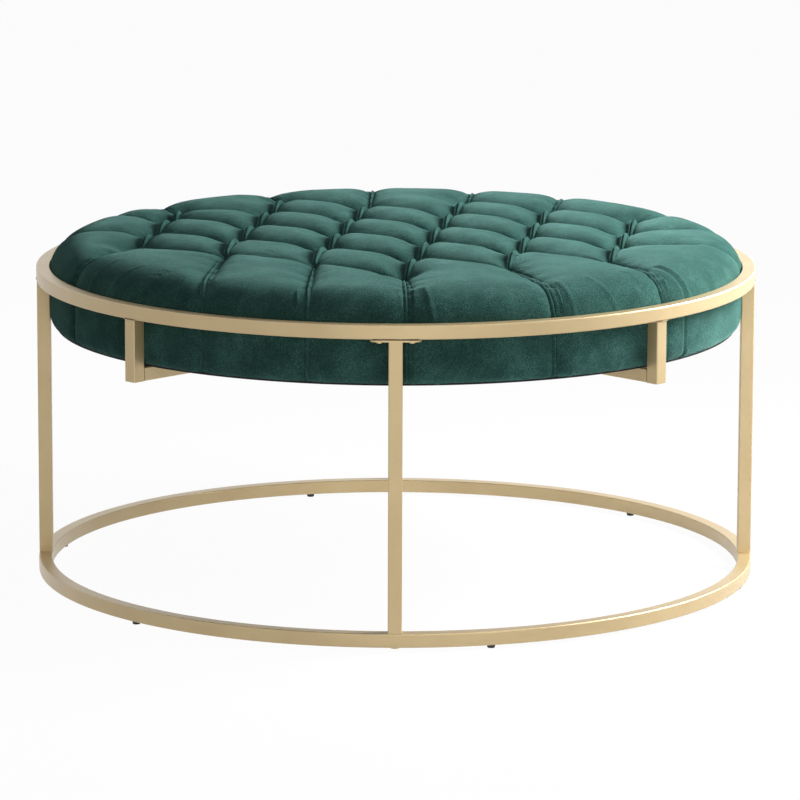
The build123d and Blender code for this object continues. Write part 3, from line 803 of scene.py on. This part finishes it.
def dust_cloth():
    """The black cloth stapled under the board, sagging a little between the bars.

    The sag is a parabola over the radius times the sine of twice the angle from the bars, squared.
    """
    share = np.linspace(0, 1, DUST_RINGS)[:, None]
    turn = np.linspace(0, 2 * np.pi, DUST_SPOKES, endpoint=False)[None, :]
    radius = share * DUST_RADIUS
    sag = DUST_SAG * 4 * share * (1 - share) * np.cos(2 * turn) ** 2
    points = np.stack([radius * np.sin(turn), -radius * np.cos(turn), DUST_LEVEL - sag + 0 * turn], -1)
    ring, point = np.meshgrid(np.arange(1, DUST_RINGS - 1), np.arange(DUST_SPOKES), indexing="ij")
    a = ring * DUST_SPOKES + point
    b = ring * DUST_SPOKES + (point + 1) % DUST_SPOKES
    quads = np.stack([a, a + DUST_SPOKES, b + DUST_SPOKES, b], -1).reshape(-1, 4).tolist()
    middle = [[0, DUST_SPOKES + k, DUST_SPOKES + (k + 1) % DUST_SPOKES] for k in range(DUST_SPOKES)]
    return new_piece("dust_cloth", points, quads + middle)


def roll_crevice_painted_shadow():
    """Painted shadow: a thin black ring just below the velvet's lower roll, which draws the shaded crevice
    there as a thin black line.

    It is a small circle carried round the cushion.
    """
    turn = np.linspace(0, 2 * np.pi, SHADOW_RING_SPOKES + 1)[:-1, None]
    around = np.linspace(0, 2 * np.pi, SHADOW_RING_SIDES, endpoint=False)[None, :]
    radius = SHADOW_RING_REACH + SHADOW_RING_TUBE_RADIUS * np.cos(around)
    height = DUST_LEVEL + SHADOW_RING_TUBE_RADIUS * (1 + np.sin(around)) - DUST_CLEARANCE
    points = np.stack([radius * np.sin(turn), -radius * np.cos(turn), height + 0 * turn], -1)
    ring, point = np.meshgrid(np.arange(SHADOW_RING_SPOKES), np.arange(SHADOW_RING_SIDES), indexing="ij")
    a, b = ring * SHADOW_RING_SIDES + point, ring * SHADOW_RING_SIDES + (point + 1) % SHADOW_RING_SIDES
    next_a, next_b = ((corner + SHADOW_RING_SIDES) % (SHADOW_RING_SPOKES * SHADOW_RING_SIDES) for corner in (a, b))
    faces = np.stack([a, b, next_b, next_a], -1).reshape(-1, 4)
    return new_piece("roll_crevice_painted_shadow", points, faces)


def rounded_bar(low, high, end_radius):
    """Points of a flat bar between two corners, its ends half ellipses on the plan, as two closed outlines."""
    size, middle = np.subtract(high, low), np.add(low, high) / 2
    long = int(size[1] > size[0])
    half = size[long] / 2 - end_radius
    turn = np.linspace(-np.pi / 2, np.pi / 2, BAR_END_POINTS)
    outline = np.concatenate([
        np.stack([half + end_radius * np.cos(turn), size[1 - long] / 2 * np.sin(turn)], -1),
        np.stack([-half - end_radius * np.cos(turn), -size[1 - long] / 2 * np.sin(turn)], -1),
    ])
    points = np.zeros((2, len(outline), 3))
    points[..., long] = middle[long] + outline[:, 0]
    points[..., 1 - long] = middle[1 - long] + outline[:, 1] * (-1 if long else 1)
    points[0, :, 2], points[1, :, 2] = low[2], high[2]
    return points


def plate_gap_painted_shadow():
    """Painted shadow: thin dark red strips in the gaps between the leg plates and the top ring, standing for
    the shade in each gap and the gold's reddish reflection there.
    """
    bars = []
    for side in ("front", "right", "back", "left"):
        low, high = (np.array(corner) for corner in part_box(f"leg_plate_{side}"))
        end_radius = min(high[0] - low[0], high[1] - low[1]) * GAP_SHADOW_END_SHARE
        bottom, top = [*low[:2] + GAP_SHADOW_INSET, high[2]], [*high[:2] - GAP_SHADOW_INSET, ring_low.z]
        bars.append(rounded_bar(bottom, top, end_radius))
    return strips_piece("plate_gap_painted_shadow", bars)


def staples():
    """Steel staples that hold the dust cloth: short round-ended bars lying on it near its edge."""
    bars = []
    for count in range(STAPLE_COUNT):
        turn = 2 * np.pi * count / STAPLE_COUNT
        bar = rounded_bar(
            [-STAPLE_LENGTH / 2, -STAPLE_WIRE / 2, DUST_LEVEL - STAPLE_WIRE - DUST_CLEARANCE],
            [STAPLE_LENGTH / 2, STAPLE_WIRE / 2, DUST_LEVEL],
            STAPLE_WIRE / 2,
        )
        bar[..., 1] -= DUST_RADIUS - STAPLE_INSET
        x, y = bar[..., 0].copy(), bar[..., 1].copy()
        bar[..., 0], bar[..., 1] = x * np.cos(turn) - y * np.sin(turn), x * np.sin(turn) + y * np.cos(turn)
        bars.append(bar)
    return strips_piece("dust_cloth_staples", bars)


def weld_fillets():
    """Small welds where the uprights meet the top ring: a hollow fillet round each square tube.

    Each ring of points is the tube's rounded square, a superellipse of the twelfth power, grown by the fillet's
    quarter circle, from the ring down the tube.
    """
    beads = []
    for side in ("front_left", "front_right", "back_left", "back_right"):
        low, high = (np.array(corner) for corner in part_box(f"upright_{side}"))
        centre, level = (low + high) / 2, ring_low.z
        angle = np.arctan2(centre[1], centre[0])
        arc = np.linspace(0, np.pi / 2, WELD_ARC_POINTS)
        grow = np.concatenate([WELD_SIZE * (1 - np.sin(arc)), [-WELD_SIZE, -WELD_SIZE]])
        drop = np.concatenate([WELD_SIZE * (1 - np.cos(arc)), [WELD_SIZE, 0]])
        turn = np.linspace(0, 2 * np.pi, WELD_POINTS + 1)[:-1]
        power = WELD_SQUARENESS
        square = 1 / (abs(np.cos(turn)) ** power + abs(np.sin(turn)) ** power) ** (1 / power)
        radius = (TUBE / 2 + grow[:, None]) * square
        x, y = radius * np.cos(turn), radius * np.sin(turn)
        points = np.stack([
            centre[0] + x * np.cos(angle) - y * np.sin(angle),
            centre[1] + x * np.sin(angle) + y * np.cos(angle),
            level - drop[:, None] + 0 * x,
        ], -1)
        beads.append(points)
    return strips_piece("upright_welds", beads)


def place_camera():
    """The photograph's camera: in front of the table, above it, pitched down, with almost no roll or yaw."""
    pitch, roll, yaw = radians(CAMERA_PITCH), radians(CAMERA_ROLL), radians(CAMERA_YAW)
    turn = Matrix.Rotation(-yaw, 3, "Z")
    forward = turn @ Vector((0, cos(pitch), -sin(pitch)))
    up = turn @ Vector((0, sin(pitch), cos(pitch)))
    right = turn @ Vector((1, 0, 0))
    rolled_right = right * cos(roll) + up * sin(roll)
    rolled_up = up * cos(roll) - right * sin(roll)
    camera = bpy.data.cameras.new("photo_camera")
    camera.sensor_width = SENSOR_WIDTH
    camera.lens = FOCAL_PIXELS / PHOTO_PIXELS * SENSOR_WIDTH
    camera.clip_end = CAMERA_REACH
    holder = bpy.data.objects.new("photo_camera", camera)
    place = Matrix((rolled_right, rolled_up, -forward)).transposed().to_4x4()
    place.translation = (
        0,
        -CAMERA_DISTANCE_SHARE * RING_RADIUS,
        BASE_BOTTOM + CAMERA_HEIGHT_SHARE * RING_RADIUS,
    )
    holder.matrix_world = place
    bpy.context.scene.collection.objects.link(holder)
    bpy.context.scene.camera = holder


def lamp(name, place, size, power):
    """A square area lamp aimed at the cushion."""
    light = bpy.data.lights.new(name, "AREA")
    light.energy = power
    light.size = size
    holder = bpy.data.objects.new(name, light)
    holder.location = place
    aim = Vector((0, 0, CREST)) - Vector(place)
    holder.rotation_euler = aim.to_track_quat("-Z", "Y").to_euler()
    holder.visible_camera = False
    bpy.context.scene.collection.objects.link(holder)


def seen_directly(tree):
    """1 for camera, glossy and transmission rays, so that mirrors and the camera see one background."""
    rays = add(tree, "LightPath").outputs
    seen = rays["Is Camera Ray"]
    for kind in ("Is Glossy Ray", "Is Transmission Ray"):
        seen = add(tree, "Math", {0: seen, 1: rays[kind]}, operation="MAXIMUM").outputs[0]
    return seen


def white_studio():
    """A pale floor that keeps the shadow, a white surround, and soft lamps from the upper right."""
    world = bpy.data.worlds.new("white_surround")
    world.use_nodes = True
    bpy.context.scene.world = world
    tree = world.node_tree
    tree.nodes.clear()
    strength = between(tree, seen_directly(tree), SURROUND_LIGHT, SURROUND_SEEN)
    glow = add(tree, "Background", {"Color": (1, 1, 1, 1), "Strength": strength})
    add(tree, "OutputWorld", {"Surface": glow.outputs[0]})
    material, tree = new_material("pale_floor")
    matt = add(tree, "BsdfDiffuse", {"Color": linear("#FAFAFA")})
    white = add(tree, "Emission", {"Color": (1, 1, 1, 1), "Strength": 1.0})
    share = between(tree, seen_directly(tree), 0.0, FLOOR_WHITE_SHARE)
    close(tree, add(tree, "MixShader", {0: share, 1: matt.outputs[0], 2: white.outputs[0]}))
    corners = [(x * FLOOR_HALF, y * FLOOR_HALF, 0) for x, y in ((-1, -1), (1, -1), (1, 1), (-1, 1))]
    floor = new_piece("floor", corners, [(0, 1, 2, 3)], smooth=False)
    floor.data.materials.append(material)
    for name, (place, size, power) in LAMPS.items():
        lamp(name, place, size, power)
    sun = bpy.data.lights.new("overhead_light", "SUN")
    sun.energy = OVERHEAD_POWER
    sun.angle = radians(OVERHEAD_SPREAD)
    holder = bpy.data.objects.new("overhead_light", sun)
    holder.rotation_euler = (*map(radians, OVERHEAD_TILT), 0)
    bpy.context.scene.collection.objects.link(holder)


# Sizes that the frame gives
ring_low, ring_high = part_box("top_ring")
cover_low, cover_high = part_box("tufted_cover")
RING_RADIUS = ring_high.x
TUBE = ring_high.z - ring_low.z
RING_INNER = RING_RADIUS - TUBE
BASE_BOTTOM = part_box("base_ring")[0].z
COVER_RADIUS = cover_high.x
COVER_BOTTOM = cover_low.z
CREST = cover_high.z - CLOTH_CAP / 2
REACH, RADIUS, HEIGHT = cover_profile()
RIM_REACH = reach_at(COVER_RADIUS - RIM_SHARE * SHOULDER_WIDTH)
TUFTS = tuft_places()
CREASES = creases()
LEAN_WAY = (TUFTS[0, -0.5] - TUFTS[0, 0.5]) / np.hypot(*(TUFTS[0, -0.5] - TUFTS[0, 0.5]))
DUST_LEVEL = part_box("dust_cover")[0].z + DUST_CLEARANCE
DUST_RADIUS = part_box("dust_cover")[1].x
SHADOW_RING_REACH = COVER_RADIUS - LOWER_ROUNDING * SHADOW_RING_INSET_SHARE

# One finish for each of the record's material slots
FINISHES = {
    "frame_metal": champagne_paint(),
    "insert_steel": plated_steel("zinc_plated_steel", "#C9C7C0", "#A9A8A3"),
    "screw_steel": plated_steel("gold_plated_steel", "#CDB98F", "#B49E70"),
    "foot_plastic": black_nylon(),
    "velvet": teal_velvet(),
    "plywood": birch_plywood(),
    "foam": plain_cloth("cream_foam", "#EFE7C8", "#D8CDA4", 1.5 * MM),
    "twine": plain_cloth("dyed_waxed_twine", "#27443F", "#182E2A", 0.6 * MM),
    "dust_cloth": plain_cloth("black_spunbond", "#1C1C1C", "#0C0C0C", 0.9 * MM),
}
for part in frame["record"]["subparts"]:
    node_mesh = frame["nodes"][part["node"]].data
    node_mesh.materials.clear()
    node_mesh.materials.append(FINISHES[part["material_slot"]])

grid = cushion_grid()
cushion = tufted_cushion(grid)
folds = fold_strips(grid)
pleat_piece = pleat_strips(grid)
for piece in (cushion, folds, pleat_piece):
    piece.data.materials.append(FINISHES["velvet"])
    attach(piece, "root")
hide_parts("tufted_cover")

cloth = dust_cloth()
# The black ring below the lower roll is painted shadow, in the dust cloth's black finish.
shadow_ring_piece = roll_crevice_painted_shadow()
for piece in (cloth, shadow_ring_piece):
    piece.data.materials.append(FINISHES["dust_cloth"])
    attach(piece, "root")
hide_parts("dust_cover")

trim = {
    # The strips in the plate gaps are painted shadow and painted reflection, made of dark red cloth.
    "foot_plastic": (plate_gap_painted_shadow(), plain_cloth("gap_shadow_dark_red", "#3A1610", "#260D09", 0.5 * MM)),
    "screw_steel": (staples(), FINISHES["insert_steel"]),
    "frame_metal": (weld_fillets(), FINISHES["frame_metal"]),
}
for slot, (piece, finish) in trim.items():
    piece.data.materials.append(finish)
    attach(piece, "root")

white_studio()
place_camera()
bpy.context.scene.view_settings.view_transform = "Standard"
